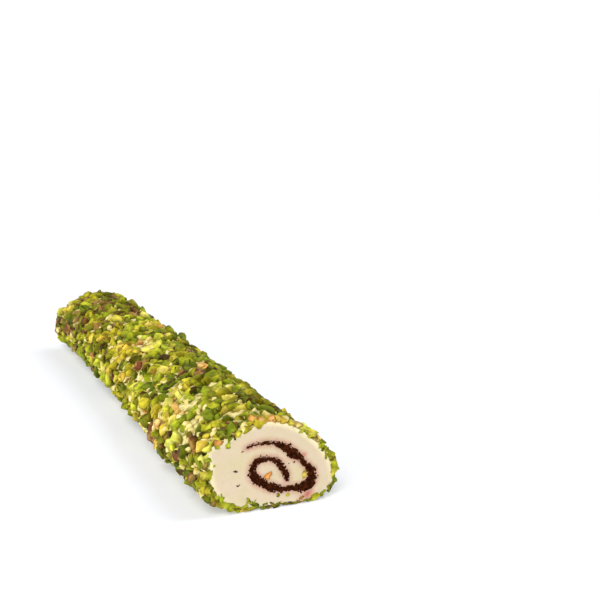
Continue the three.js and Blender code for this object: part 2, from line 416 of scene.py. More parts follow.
channel = ribbon("channel", -CHANNEL_TIGHT, CHANNEL_PROUD, SWIRL_STEPS // 4)
apply_modifier(nougat, "BOOLEAN", operation="DIFFERENCE", object=channel, solver="MANIFOLD")
bpy.data.objects.remove(channel)


def colour_ramp(tree, factor, *stops):
    """Colours that follow a factor, from stops of a position and a display colour."""
    node = add_node(tree, "ValToRGB", feeds={"Fac": factor})
    while len(node.color_ramp.elements) < len(stops):
        node.color_ramp.elements.new(0.5)
    for element, (position, hex_code) in zip(node.color_ramp.elements, stops):
        element.position = position
        element.color = colour(hex_code)
    return node.outputs["Color"]


def add_noise(tree, scale, detail):
    """A cloudy pattern fixed to the piece, this many to the metre."""
    place = add_node(tree, "TexCoord").outputs["Object"]
    node = add_node(tree, "TexNoise", {"Scale": scale, "Detail": detail}, {"Vector": place})
    return node.outputs["Fac"]


def add_bump(tree, shader, height, strength, distance):
    """Fine relief on a finish."""
    node = add_node(tree, "Bump", {"Strength": strength, "Distance": distance}, {"Height": height})
    tree.links.new(node.outputs["Normal"], shader.inputs["Normal"])


def finish_piece(piece, material, replaced):
    """Gives a modelled piece its finish and hangs it on the roll in place of a solid."""
    piece.data.materials.clear()
    piece.data.materials.append(material)
    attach(piece, "root")
    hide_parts(replaced)


cocoa, tree, shader = new_material("cocoa_filling", 0.75, 0.04)
mottle = add_noise(tree, 900.0, 5.0)
crumbly = colour_ramp(tree, mottle, (0.35, "1e0800"), (0.75, "4c2008"))
tree.links.new(crumbly, shader.inputs["Base Color"])
add_bump(tree, shader, mottle, 0.7, 0.3 * MM)
finish_piece(swirl, cocoa, "cocoa_swirl")

# The nougat's finish waits for the filling, which has bled into it a little. On its flanks it is
# yellowed by the oil and dust of the nuts.
STAIN_REACH = 1.7 * MM
SWIRL_SAMPLES = 160
STAIN_BLOTS_MM = ((12.3, 2.7, 1.9), (10.2, 1.6, 1.2), (12.9, 12.0, 0.9), (11.2, 15.6, 0.7))
BLOT_STRENGTH = 1.7
DUSTED_FROM_CUT = 0.5 * MM
HIGHLIGHT_REACH = 1.6 * MM       # painted highlight: along the edge of a cut the nougat is lighter and creamier, where the rim catches the light
HIGHLIGHT_FULL_ABOVE = 14 * MM   # near the table only by this share of it
HIGHLIGHT_LEAST = 0.2
NOUGAT_SMOOTH_DEG = 40


def near_swirl(points):
    """How stained each point is: 1 at the filling, 0 at the stain's reach, more in the blots."""
    middle, _ = along_swirl(np.linspace(0, 1, SWIRL_SAMPLES))
    wide, high, sway = roll_sizes(points[:, 1])
    flat_x = (points[:, 0] - sway) / wide
    flat_z = points[:, 2] / high
    gap = np.hypot(flat_x[:, None] - middle[None, :, 0], flat_z[:, None] - middle[None, :, 1])
    closest = (gap - middle[None, :, 2] / 2).min(axis=1)
    stain = np.clip(1 - closest / STAIN_REACH, 0, 1)
    for across, up, reach in STAIN_BLOTS_MM:
        gap = np.hypot(flat_x - across * MM, flat_z - up * MM)
        stain = np.maximum(stain, BLOT_STRENGTH * np.exp(-(gap / (reach * MM)) ** 2))
    return stain


def rim_highlight(points):
    """How much painted highlight each point of a cut gets: 1 at the nougat's own edge, less further in
    and near the table.
    """
    turns = np.arange(NOUGAT_RIM) / NOUGAT_RIM
    edge_x, edge_z, _, _ = round_section(turns, 1, 0, depths=CUT_DEPTHS_MM)
    edge_x, _, edge_z = on_roll(edge_x, np.full(NOUGAT_RIM, -LENGTH / 2), edge_z)
    gap = np.hypot(points[:, None, 0] - edge_x, points[:, None, 2] - edge_z).min(axis=1)
    return np.clip(1 - gap / HIGHLIGHT_REACH, 0, 1) * np.clip(points[:, 2] / HIGHLIGHT_FULL_ABOVE, HIGHLIGHT_LEAST, 1)


def add_attribute(piece, name, domain, values):
    """A number for each face or each point, which a finish reads."""
    piece.data.attributes.new(name, "FLOAT", domain).data.foreach_set("value", values)


def read_attribute(tree, name):
    """Reads such a number in a finish."""
    node = add_node(tree, "Attribute")
    node.attribute_name = name
    return node.outputs["Fac"]


def add_math(tree, operation, first, second, clamped=False):
    """The sum or product of two factors."""
    node = add_node(tree, "Math", feeds={0: first, 1: second})
    node.operation = operation
    node.use_clamp = clamped
    return node.outputs["Value"]


def mix_colours(tree, factor, first, second, blend="MIX"):
    """Lays the second colour over the first; each may be a display colour or a node's output."""
    values, feeds = {}, {}
    for socket, source in (("Fac", factor), ("Color1", first), ("Color2", second)):
        if isinstance(source, bpy.types.NodeSocket):
            feeds[socket] = source
        else:
            values[socket] = colour(source) if isinstance(source, str) else source
    node = add_node(tree, "MixRGB", values, feeds)
    node.blend_type = blend
    return node.outputs["Color"]


def select_only(piece):
    """Makes this piece the one that the next operator acts on."""
    bpy.ops.object.select_all(action="DESELECT")
    piece.select_set(True)
    bpy.context.view_layer.objects.active = piece


nougat_points = points_of(nougat)
flank = np.abs(nougat_points[:, 1]) < LENGTH / 2 - DUSTED_FROM_CUT
add_attribute(nougat, "stain", "POINT", near_swirl(nougat_points))
# The painted highlight along the edges of the cuts.
add_attribute(nougat, "edge", "POINT", rim_highlight(nougat_points))
add_attribute(nougat, "dusted", "POINT", flank.astype(float))

cream, tree, shader = new_material("whipped_nougat", 0.62, 0.2)
clean = colour_ramp(tree, add_noise(tree, 160.0, 3.0), (0.3, "c5b894"), (0.7, "cbb9a3"))
bled = add_math(tree, "MULTIPLY", read_attribute(tree, "stain"), add_noise(tree, 700.0, 2.0))
stained = mix_colours(tree, bled, clean, "b0584a")
# Painted highlight: the cut faces are lighter and creamier along their edge.
highlighted = mix_colours(tree, read_attribute(tree, "edge"), stained, "e8dcae")
dusty = colour_ramp(tree, add_noise(tree, 420.0, 4.0), (0.40, "94822c"), (0.56, "ecdc98"))
oily = mix_colours(tree, read_attribute(tree, "dusted"), highlighted, dusty)
tree.links.new(oily, shader.inputs["Base Color"])
shader.inputs["Subsurface Weight"].default_value = 0.3
shader.inputs["Subsurface Radius"].default_value = (1.0, 0.75, 0.5)
shader.inputs["Subsurface Scale"].default_value = 1.5 * MM
add_bump(tree, shader, add_noise(tree, 900.0, 4.0), 0.6, 0.3 * MM)
finish_piece(nougat, cream, "pistachio_nougat")
select_only(nougat)
bpy.ops.object.shade_smooth_by_angle(angle=math.radians(NOUGAT_SMOOTH_DEG))

# ------------------------------
# Pistachio coat: raw kernels chopped into pieces of a few millimetres, which the soft roll was
# pressed into. Some forms are cut from a kernel, then thousands of copies are laid: a layer bedded
# in the nougat, some more caught on top of it, and those that the knife has cut at the two ends.
# ------------------------------
NIB_FORMS = 16
NIB_SEGMENTS = 7            # faces round the kernel that a nib is cut from
NIB_RINGS = 4
FEWEST_CHOPS = 2
MOST_CHOPS = 4
CHOPPED_AT = (0.35, 0.72)   # how far from the middle, as a share of the half length
NIB_EDGE = 0.09             # bevel, on the same scale, of edges sharper than this angle
NIB_SHARP_DEG = 62
SKIN_FROM = 0.95            # faces all further out than this still have the kernel's skin
NIB_WOBBLE = 0.36
NIB_WOBBLE_RATE = 1.7
NIB_TAPER = 0.35            # one end of a nib is slimmer by up to this much
NIB_SMOOTH_DEG = 38
NIB_STANDS = 0.24 * MM      # how unevenly deep the nibs sit
# Half length, half width and half height in mm, and how close two may lie, where 1 is touching.
NIB_SIZES = [
    ((2.4, 3.2), (1.7, 2.4), (1.5, 2.1), 0.80),
    ((1.8, 2.5), (1.4, 2.0), (1.3, 1.8), 0.76),
    ((1.2, 1.7), (1.0, 1.4), (0.9, 1.3), 0.74),
    ((0.8, 1.1), (0.6, 1.0), (0.6, 0.9), 0.74),
]
# How many coats deep, how much further and how deep at most in mm, lean, and how many places of
# each size to try.
LAYERS = {
    "bedded": (0.78, 0.45, 2.4, 0.45, (6000, 4000, 3000, 3000)),
    "caught": (0, 1.50, 1.6, 0.22, (300, 350, 300, 200)),
}
CAUGHT_BIG_MM = 2           # of those caught on top, any this long lie on the upper side only
CAUGHT_BIG_FACING = 0.15    # the least upward share of the outward direction
CAUGHT_SMALL_FACING = -0.75
MOST_NIBS = 12000
LAID_SHORT_MM = 0.3         # the middles of the laid nibs stay this far inside the cuts
NEIGHBOURS_MM = 5           # along the roll, nibs further off than this never touch
BARE_LEVEL = 0.46           # the coat is thin where a cloudy pattern rises above this
BARE_ROUND = 3              # how many times faster the pattern changes round the roll
BARE_ALONG_MM = 6           # and how many mm along it one cloud takes
PRESSED_AT = 0.03 * MM      # the table flattens the nuts here, or up to this many times higher
PRESSED_VARIES = (1, 4)
LOWEST_CENTRE = 0.35 * MM
PAST_CUT = 0.3 * MM         # the knife has cut them off within these shares of this
PAST_CUT_VARIES = (0.2, 1.2)
KNIFED_RISE = 0.4           # painted base shade: a cut nut is at least as light as one's flank this high up
RIPENESS_SPAN = 11 * MM
RIPENESS_SHIFT = (25.7, 14.0, 29.8)
RIPENESS_CONTRAST = 1.2
GREENER = (0.85, 1.0, 0.98, 1.0)
RIPER = (1.0, 0.85, 0.80, 1.0)
TONE_DRIFT = 0.22           # a nib's colour wanders by this share of its kind's tones
HEART_PALENESS = (0.1, 0.4)
BALD_AT = 0.60              # where a cloudy pattern is above this, a nib has kept its skin
BALD_LESS = 0.26            # or above this much less, for a kind that has all of it
SKIN_FRAY = 0.16
MOTTLE_LIGHTNESS = (0.65, 1.32)
SHADE_AND_DUST_BELOW = (-0.4, 0.85)  # painted shade, with a little dust: between these shares of its height a nib goes from darker and browner to clean
CREVICE_SHADE_AND_DUST = (0.17, 0.15, 0.03, 1.0)
CLEAN = (1.0, 1.0, 1.0, 1.0)


def form_of(piece):
    """Takes a mesh out of the scene as numbers, to be copied by joined_copies."""
    faces = [list(face.vertices) for face in piece.data.polygons]
    points = points_of(piece)
    bpy.data.objects.remove(piece)
    return {
        "points": points,
        "corners": np.concatenate(faces),
        "counts": np.array([len(face) for face in faces]),
        "skin": np.zeros(len(faces)),
        "heart": np.zeros(len(points)),
    }


def chopped_nib(seed):
    """One piece of kernel: a rounded form with a few flat cuts, each paler at its heart."""
    draw = np.random.default_rng(seed)
    bpy.ops.object.select_all(action="DESELECT")
    bpy.ops.mesh.primitive_uv_sphere_add(segments=NIB_SEGMENTS, ring_count=NIB_RINGS, radius=1)
    nib = bpy.context.object
    bpy.ops.object.mode_set(mode="EDIT")
    for _ in range(draw.integers(FEWEST_CHOPS, MOST_CHOPS + 1)):
        bpy.ops.mesh.select_all(action="SELECT")
        way = draw.normal(size=3)
        way = Vector(way / np.linalg.norm(way))
        bpy.ops.mesh.bisect(
            plane_co=way * draw.uniform(*CHOPPED_AT), plane_no=way, use_fill=True, clear_outer=True,
        )
    bpy.ops.mesh.select_all(action="DESELECT")
    bpy.ops.mesh.select_mode(type="EDGE")
    bpy.ops.mesh.edges_select_sharp(sharpness=math.radians(NIB_SHARP_DEG))
    bpy.ops.mesh.bevel(offset=NIB_EDGE, segments=1, affect="EDGES")
    bpy.ops.object.mode_set(mode="OBJECT")
    form = form_of(nib)
    points = form["points"]
    radius = np.linalg.norm(points, axis=1)
    ends = np.cumsum(form["counts"])
    for k, face in enumerate(np.split(form["corners"], ends[:-1])):
        form["skin"][k] = radius[face].min() > SKIN_FROM
        if len(face) > 4:
            form["heart"][face] = 1.0
    wobble = [noise.noise(Vector(point) * NIB_WOBBLE_RATE + Vector((seed, 0, 0))) for point in points]
    points = points * (1 + NIB_WOBBLE * np.array(wobble))[:, None]
    points[:, 1:] *= 1 + draw.uniform(0, NIB_TAPER) * points[:, :1]
    points = points - (points.max(0) + points.min(0)) / 2
    form["points"] = points / points.max(0)
    return form


def reach_of(long_half, wide_half, bearing):
    """How far an ellipse reaches from its middle in this direction."""
    return long_half * wide_half / np.hypot(wide_half * np.cos(bearing), long_half * np.sin(bearing))


def laid_nibs(tries, draw):
    """Where each nib lies: way round, way along, turn and half sizes, none deep in its neighbour."""
    girth = (2 * WIDTH + CROWN_RISE + BELLY_DROP) / MM
    half = LENGTH / 2 / MM - LAID_SHORT_MM
    found = np.zeros((MOST_NIBS, 6))
    count = 0
    for (long_range, wide_range, high_range, closeness), places in zip(NIB_SIZES, tries):
        s = draw.uniform(0, girth, places)
        y = draw.uniform(-half, half, places)
        spin = draw.uniform(0, math.pi, places)
        a = draw.uniform(*long_range, places)
        b = draw.uniform(*wide_range, places)
        c = draw.uniform(*high_range, places)
        for k in range(places):
            known = found[:count]
            known = known[np.abs(known[:, 1] - y[k]) < NEIGHBOURS_MM]
            ds = np.mod(known[:, 0] - s[k] + girth / 2, girth) - girth / 2
            dy = known[:, 1] - y[k]
            bearing = np.arctan2(dy, ds)
            mine = reach_of(a[k], b[k], bearing - spin[k])
            theirs = reach_of(known[:, 3], known[:, 4], bearing - known[:, 2])
            if np.any(np.hypot(ds, dy) < closeness * (mine + theirs)):
                continue
            found[count] = (s[k], y[k], spin[k], a[k], b[k], c[k])
            count += 1
    found = found[:count]
    found[:, 0] /= girth
    return found


def set_on_roll(laid, coats, inset, lean, draw, deepest=1.0, depths=COAT_DEPTHS_MM):
    """Turns laid nibs into centres, frames of three directions and half sizes, in metres."""
    x, z, out_x, out_z = round_section(laid[:, 0], coats, inset, deepest, depths)
    x, y, z = on_roll(x, laid[:, 1] * MM, z)
    outward = np.column_stack([out_x, np.zeros(len(y)), out_z])
    along = np.tile([0.0, 1.0, 0.0], (len(y), 1))
    around = np.cross(along, outward)
    cos, sin = np.cos(laid[:, 2])[:, None], np.sin(laid[:, 2])[:, None]
    long_way = around * cos + along * sin
    wide_way = np.cross(outward, long_way)
    pitch = draw.normal(0, lean, len(y))[:, None]
    roll = draw.normal(0, lean, len(y))[:, None]
    high_way = outward + long_way * np.sin(pitch) + wide_way * np.sin(roll)
    high_way /= np.linalg.norm(high_way, axis=1)[:, None]
    long_way = np.cross(wide_way, high_way)
    long_way /= np.linalg.norm(long_way, axis=1)[:, None]
    wide_way = np.cross(high_way, long_way)
    centres = np.column_stack([x, y, z]) + outward * draw.normal(0, NIB_STANDS, len(y))[:, None]
    return centres, np.stack([long_way, wide_way, high_way], axis=1), laid[:, 3:6] * MM


def bare(laid):
    """True where the coat has a thin patch."""
    angle = laid[:, 0] * 2 * math.pi
    spots = np.column_stack([
        BARE_ROUND * np.cos(angle), BARE_ROUND * np.sin(angle), laid[:, 1] / BARE_ALONG_MM,
    ])
    return np.array([noise.noise(Vector(spot)) for spot in spots]) > BARE_LEVEL


def held_back(points, centres, axis, limit, side):
    """Cuts each copy off flat at its own limit, by drawing its points in towards its centre.

    Returns which points were drawn in.
    """
    centre = centres[:, None, axis]
    limit = limit[:, None]
    past = side * (points[:, :, axis] - limit) > 0
    reach = np.where(past, points[:, :, axis] - centre, 1.0)
    share = np.where(past, (limit - centre) / reach, 1.0)
    points[:] = centres[:, None] + (points - centres[:, None]) * share[:, :, None]
    return past


def ripeness(centres):
    """From 0 to 1: neighbouring nibs are from the same handful, some greener and some riper."""
    spots = [Vector(centre) / RIPENESS_SPAN + Vector(RIPENESS_SHIFT) for centre in centres]
    return np.clip(0.5 + RIPENESS_CONTRAST * np.array([noise.noise(spot) for spot in spots]), 0, 1)


def joined_copies(name, forms, which, centres, frames, sizes, draw):
    """One mesh of many turned and stretched copies, each with its own tone.

    They are cut off flat at the two ends of the roll and at the table.
    """
    centres = np.column_stack([
        centres[:, 0],
        np.clip(centres[:, 1], -LENGTH / 2, LENGTH / 2),
        np.maximum(centres[:, 2], LOWEST_CENTRE),
    ])
    points, corners, counts, skin, heart, rise, tone, ripe = [], [], [], [], [], [], [], []
    start = 0
    for k, form in enumerate(forms):
        mine = np.flatnonzero(which == k)
        if not len(mine):
            continue
        local = form["points"][None] * sizes[mine][:, None]
        world_points = np.einsum("nvi,nij->nvj", local, frames[mine]) + centres[mine][:, None]
        proud = PAST_CUT * draw.uniform(*PAST_CUT_VARIES, len(mine))
        knifed = held_back(world_points, centres[mine], 1, -LENGTH / 2 - proud, -1)
        knifed |= held_back(world_points, centres[mine], 1, LENGTH / 2 + proud, 1)
        pressed = PRESSED_AT * draw.uniform(*PRESSED_VARIES, len(mine))
        held_back(world_points, centres[mine], 2, pressed, -1)
        size = len(form["points"])
        points.append(world_points.reshape(-1, 3))
        corners.append((form["corners"][None] + start + size * np.arange(len(mine))[:, None]).ravel())
        counts.append(np.tile(form["counts"], len(mine)))
        skin.append(np.tile(form["skin"], len(mine)))
        heart.append(np.maximum(form["heart"][None], knifed).ravel())
        # A nib's height within itself, which its finish turns into painted shade at its base.
        rise.append(np.maximum(form["points"][None, :, 2], knifed * KNIFED_RISE).ravel())
        tone.append(np.repeat(draw.uniform(0, 1, len(mine)), len(form["counts"])))
        ripe.append(np.repeat(ripeness(centres[mine]), len(form["counts"])))
        start += size * len(mine)
    points, corners, counts = map(np.concatenate, (points, corners, counts))
    mesh = bpy.data.meshes.new(name)
    mesh.vertices.add(len(points))
    mesh.vertices.foreach_set("co", points.ravel())
    mesh.loops.add(len(corners))
    mesh.loops.foreach_set("vertex_index", corners.astype(np.int32))
    mesh.polygons.add(len(counts))
    mesh.polygons.foreach_set("loop_start", (np.cumsum(counts) - counts).astype(np.int32))
    mesh.update(calc_edges=True)
    piece = bpy.data.objects.new(name, mesh)
    bpy.context.scene.collection.objects.link(piece)
    add_attribute(piece, "skin", "FACE", np.concatenate(skin))
    add_attribute(piece, "tone", "FACE", np.concatenate(tone))
    add_attribute(piece, "ripeness", "FACE", np.concatenate(ripe))
    add_attribute(piece, "heart", "POINT", np.concatenate(heart))
    add_attribute(piece, "rise", "POINT", np.concatenate(rise))
    return piece


def kernel_finish(name, tones, heart_colour, skin_colour, skin_share):
    """Raw pistachio: each nib has its own green, is paler at the heart of a cut, darker on its skin,
    and has painted shade low down.
    """
    material, tree, shader = new_material(name, 0.5, 0.06)
    drift = add_noise(tree, 330.0, 2.0)
    shift = map_range(tree, drift, 0.3, 0.7, -TONE_DRIFT, TONE_DRIFT)
    own = add_math(tree, "ADD", read_attribute(tree, "tone"), shift, clamped=True)
    stops = [(k / (len(tones) - 1), tone) for k, tone in enumerate(tones)]
    paleness = map_range(tree, drift, 0.35, 0.65, *HEART_PALENESS)
    hearted = add_math(tree, "MULTIPLY", read_attribute(tree, "heart"), paleness)
    fresh = mix_colours(tree, hearted, colour_ramp(tree, own, *stops), heart_colour)

    bald = BALD_AT - BALD_LESS * skin_share
    left_on = map_range(tree, add_noise(tree, 260.0, 4.0), bald, bald + SKIN_FRAY)
    skinned = add_math(tree, "MULTIPLY", left_on, read_attribute(tree, "skin"))
    dressed = mix_colours(tree, skinned, fresh, skin_colour)

    mottle = add_noise(tree, 430.0, 5.0)
    lightness = map_range(tree, mottle, 0.32, 0.68, *MOTTLE_LIGHTNESS)
    speckled = mix_colours(tree, 1.0, dressed, lightness, "MULTIPLY")
    # Painted shade: each nib is darker and browner towards its base, where its neighbours shade it,
    # with a little dust as well.
    lift = map_range(tree, read_attribute(tree, "rise"), *SHADE_AND_DUST_BELOW)
    shaded = mix_colours(tree, 1.0, speckled, mix_colours(tree, lift, CREVICE_SHADE_AND_DUST, CLEAN), "MULTIPLY")
    riper = mix_colours(tree, read_attribute(tree, "ripeness"), GREENER, RIPER)
    ripened = mix_colours(tree, 1.0, shaded, riper, "MULTIPLY")
    tree.links.new(ripened, shader.inputs["Base Color"])
    add_bump(tree, shader, mottle, 0.8, 0.4 * MM)
    return material


# Each kind: its share of the coat, its own tones, its heart, its skin and how much skin is left.
NIB_KINDS = {
    "nibs_tan": (0.03, ("cf8a44", "d9a852", "e9cc82"), "e6bc70", "c08440", 0.2),
    "nibs_gold": (0.10, ("c0aa2a", "d2c03c", "e6d668"), "f0e472", "a89034", 0.4),
    "nibs_lime": (0.24, ("8d9614", "b2ae26", "cfc23e"), "e4de48", "94742a", 0.7),
    "nibs_leaf": (0.30, ("5e7010", "87901a", "a6a424"), "c6be2c", "6e5e1c", 0.9),
    "nibs_deep": (0.205, ("45540e", "627014", "808a1a"), "a0a030", "503c12", 1.1),
    "nibs_skin": (0.125, ("6a541e", "8c683a", "a88052"), "b8a048", "70442c", 1.5),
}
CLUSTER_SPAN = 8 * MM       # like colours lie together a little, as they fall out of the tray
CLUSTER_PULL = 1.3
SCRAP_THINNESS = 0.8        # pieces with skin are often thin scraps
TAN_SMALLER = 0.75          # and the tan ones are small
# Bits that show in the clean cut face: across, up, half length and half width in mm, and the bearing
# of the long way in degrees. The far face has those of them that lie well inside its rim.
FACE_BITS_MM = {
    "nibs_lime": (
        (-12.6, 21.6, 1.2, 1.0, 60), (21.3, 11.0, 2.3, 1.1, 112), (-7.8, 2.0, 1.3, 0.7, 20),
        (-6.8, 26.0, 1.9, 1.2, 20), (-9.6, 24.8, 1.6, 1.1, 35), (-19.9, 9.4, 1.9, 1.1, 80),
    ),
    "nibs_leaf": (
        (-15.9, 21.6, 1.0, 0.8, 0), (16.4, 18.9, 2.2, 0.8, 138), (-12.2, 2.6, 2.0, 1.5, 160),
        (19.5, 14.6, 2.4, 0.6, 120), (20.6, 7.6, 1.6, 0.8, 95), (-6.9, 3.4, 1.4, 0.9, 120),
        (2.7, 4.0, 0.7, 0.5, 100), (5.7, 3.7, 0.7, 0.5, 20),
    ),
    # Partly painted shade: the deep bits low along the bottom edge of the face are laid there to darken
    # the shadow under the roll.
    "nibs_deep": (
        (-4.8, 2.8, 1.5, 0.9, 100), (-1.2, 1.9, 1.4, 0.5, 10), (19.4, 4.0, 1.8, 1.0, 60),
        (-18.9, 6.4, 1.6, 1.1, 120), (2.6, 1.2, 1.7, 0.5, 5), (14.0, 1.5, 1.3, 0.5, 20),
        (5.6, 0.8, 1.5, 0.4, 0), (8.4, 0.7, 1.4, 0.4, 5), (11.4, 0.9, 1.5, 0.4, 10),
        (17.0, 2.4, 1.4, 0.5, 30),
    ),
    "nibs_skin": (
        (10.2, 1.9, 1.0, 0.5, 30), (-16.8, 4.6, 1.6, 1.1, 150), (-19.4, 16.4, 1.5, 0.9, 70),
        (-8.4, 19.2, 0.5, 0.3, 0),
    ),
    "nibs_gold": (
        (4.6, 26.9, 1.8, 1.2, 160), (-19.6, 13.2, 1.9, 1.2, 85), (-18.9, 19.2, 1.7, 1.2, 60),
        (11.2, 9.3, 1.4, 0.9, 80), (7.0, 25.8, 1.4, 1.0, 150),
    ),
    "nibs_tan": (
        (-15.6, 23.1, 1.8, 1.3, 20), (-2.4, 28.2, 1.3, 1.0, 0), (-5.3, 28.6, 1.6, 1.4, 60),
        (0.6, 28.0, 1.8, 1.3, 10), (9.0, 24.8, 1.7, 1.1, 150), (-0.4, 10.5, 1.4, 1.1, 20),
    ),
}
FAR_BITS_MIDDLE = (0, 13)   # across and up in mm
FAR_BITS_REACH = (17, 11)
BIT_CLEARS = 0.9            # other nibs keep this share of a bit's half size away from it
BIT_CLEARS_DEEP = 1.6 * MM
BIT_TILT = 0.15
BIT_THICKNESS = 0.8         # as a share of its half size
BIT_FORMS = (1, 3, 4, 13)   # the nib forms that are fullest in outline, for bits that show singly
BARE_CORNERS_MM = ((-17.3, 20.2, 1.6), (-18.3, 19.4, 0.9))  # where nougat shows up to its edge
# Along the coat one tray's worth of nuts is browner and another paler: across, along, up and
# reach in mm, and how far it pulls the choice of kind towards the brown end of the list.
COAT_DRIFTS_MM = (
    (-13.9, 72, 21.6, 12, 0.85), (-7.4, 44, 24.8, 7, 0.60), (-15.3, 27, 20.3, 6, 0.60),
    (-6.0, 5, 25.5, 10, -0.60), (-13.0, 12, 22.3, 9, -0.35), (-18.0, -8, 17.7, 5, 0.25),
    (2.0, -98, 28.0, 6, -0.80), (8.0, -98, 25.0, 5, -0.60), (-8.0, 85, 22.0, 28, 0.22),
    (-18.5, 97, 7.0, 6, -0.90), (-16.0, 99, 17.0, 6, -0.50), (-19.0, -96, 6.0, 8, 0.50),
)
LOW_SHADE_PULL = 0.35        # painted shade: near the table the coat is pulled towards the greener and browner kinds, for the shadow under the roll
LOW_BELOW = 5 * MM
RIM_NIBS = 130              # at each end
RIM_DEPTHS_MM = (0.1, 1.2)  # how far inside the cut their middles are
RIM_SIZES_MM = ((1.3, 2.5), (1.0, 1.7), (0.8, 1.2))
RIM_COATS = (0.45, 0.95)    # how deep in the coat, where 1 is at the nougat
RIM_LEAN = 0.4
FAR_RIM_DEEPER = 0.25       # at the far end they lie deeper and are smaller
FAR_RIM_SMALLER = 0.8
RIM_FULL_COAT = 2.3 * MM    # where the coat is thinner than this, the nibs in the rim are smaller
RIM_SIZE_LIMITS = (0.45, 1.1)

draw = np.random.default_rng(41)
forms = [chopped_nib(seed) for seed in range(NIB_FORMS)]
parts = []
for coats, inset, deepest, lean, tries in LAYERS.values():
    laid = laid_nibs(tries, draw)
    laid = laid[~bare(laid)]
    if not coats:
        _, _, out_x, out_z = round_section(laid[:, 0], 0, 0)
        big = laid[:, 3] >= CAUGHT_BIG_MM
        laid = laid[out_z > np.where(big, CAUGHT_BIG_FACING, CAUGHT_SMALL_FACING)]
    parts.append(set_on_roll(laid, coats, inset * MM, lean, draw, deepest * MM))


def rim_nibs(end, draw):
    """Nibs that the knife has cut through at one end, standing in the rim of the face."""
    laid = np.column_stack([
        draw.uniform(0, 1, RIM_NIBS),
        end * (LENGTH / 2 / MM - draw.uniform(*RIM_DEPTHS_MM, RIM_NIBS)),
        draw.uniform(0, math.pi, RIM_NIBS),
        *(draw.uniform(*sizes_mm, RIM_NIBS) for sizes_mm in RIM_SIZES_MM),
    ])
    coats = draw.uniform(*RIM_COATS, RIM_NIBS) + (FAR_RIM_DEEPER if end > 0 else 0)
    laid[:, 3:] *= FAR_RIM_SMALLER if end > 0 else 1
    _, _, out_x, out_z = round_section(laid[:, 0], 1, 0)
    coat_share = coat_depth(np.arctan2(out_z, out_x)) / RIM_FULL_COAT
    laid[:, 3:] *= np.clip(coat_share, *RIM_SIZE_LIMITS)[:, None]
    depths = CUT_DEPTHS_MM if end < 0 else COAT_DEPTHS_MM
    nibs = [
        set_on_roll(laid[k:k + 1], coats[k], 0, RIM_LEAN, draw, depths=depths)
        for k in range(RIM_NIBS)
    ]
    return tuple(np.concatenate(column) for column in zip(*nibs))


parts += [rim_nibs(end, draw) for end in (-1, 1)]

# A nib's kind follows its rank among all, from the palest to the brownest.
centres, frames, sizes = (np.concatenate(column) for column in zip(*parts))
pull = CLUSTER_PULL * np.array([noise.noise(Vector(centre) / CLUSTER_SPAN) for centre in centres])
# Painted shade: near the table the darker kinds are chosen more often.
pull += LOW_SHADE_PULL * np.clip(1 - centres[:, 2] / LOW_BELOW, 0, 1)
for across, along, up, reach, strength in COAT_DRIFTS_MM:
    gap = np.linalg.norm(centres - np.array([across, along, up]) * MM, axis=1)
    pull += strength * np.exp(-(gap / (reach * MM)) ** 2)
rank = np.argsort(np.argsort(draw.uniform(0, 1, len(centres)) + pull)) / len(centres)
limits = np.cumsum([kind[0] for kind in NIB_KINDS.values()])
kinds = np.array(list(NIB_KINDS))[np.minimum(np.searchsorted(limits, rank), len(NIB_KINDS) - 1)]
sizes[kinds == "nibs_skin", 2] *= SCRAP_THINNESS
sizes[kinds == "nibs_tan"] *= TAN_SMALLER
for across, up, reach in BARE_CORNERS_MM:
    gap = np.hypot(centres[:, 0] - across * MM, centres[:, 2] - up * MM)
    clear = (centres[:, 1] > -LENGTH / 2 + BIT_CLEARS_DEEP) | (gap > reach * MM)
    centres, frames, sizes, kinds = (column[clear] for column in (centres, frames, sizes, kinds))

# The single bits in the two faces, each with its place cleared of other nibs.
for name, rows in FACE_BITS_MM.items():
    for end in (-1, 1):
        bits = np.array(rows)
        if end > 0:
            from_middle = (bits[:, :2] - FAR_BITS_MIDDLE) / FAR_BITS_REACH
            bits = bits[np.hypot(*from_middle.T) < 1]
        if not len(bits):
            continue
        x, z, long_half, wide_half = (bits[:, :4] * MM).T
        x, y, z = on_roll(x, np.full(len(bits), end * LENGTH / 2), z)
        half = np.sqrt(long_half * wide_half)
        gap = np.hypot(centres[:, None, 0] - x, centres[:, None, 2] - z) - BIT_CLEARS * half
        clear = (np.abs(centres[:, 1] - y[0]) > BIT_CLEARS_DEEP) | (gap.min(axis=1) > 0)
        centres, frames, sizes, kinds = (column[clear] for column in (centres, frames, sizes, kinds))
        bearing = np.radians(bits[:, 4])
        tilt = draw.normal(0, BIT_TILT, len(bits))
        long_way = np.column_stack([np.cos(bearing), tilt, np.sin(bearing)])
        long_way /= np.linalg.norm(long_way, axis=1)[:, None]
        wide_way = np.cross([0, end, 0], long_way)
        wide_way /= np.linalg.norm(wide_way, axis=1)[:, None]
        turns = np.stack([long_way, wide_way, np.cross(long_way, wide_way)], axis=1)
        halves = np.column_stack([long_half, wide_half, half * BIT_THICKNESS])
        centres = np.concatenate([centres, np.column_stack([x, y, z])])
        frames = np.concatenate([frames, turns])
        sizes = np.concatenate([sizes, halves])
        kinds = np.concatenate([kinds, [name] * len(bits)])
which = draw.integers(0, NIB_FORMS, len(centres))
single = np.flatnonzero(np.abs(centres[:, 1]) == LENGTH / 2)
which[single] = np.resize(BIT_FORMS, len(single))
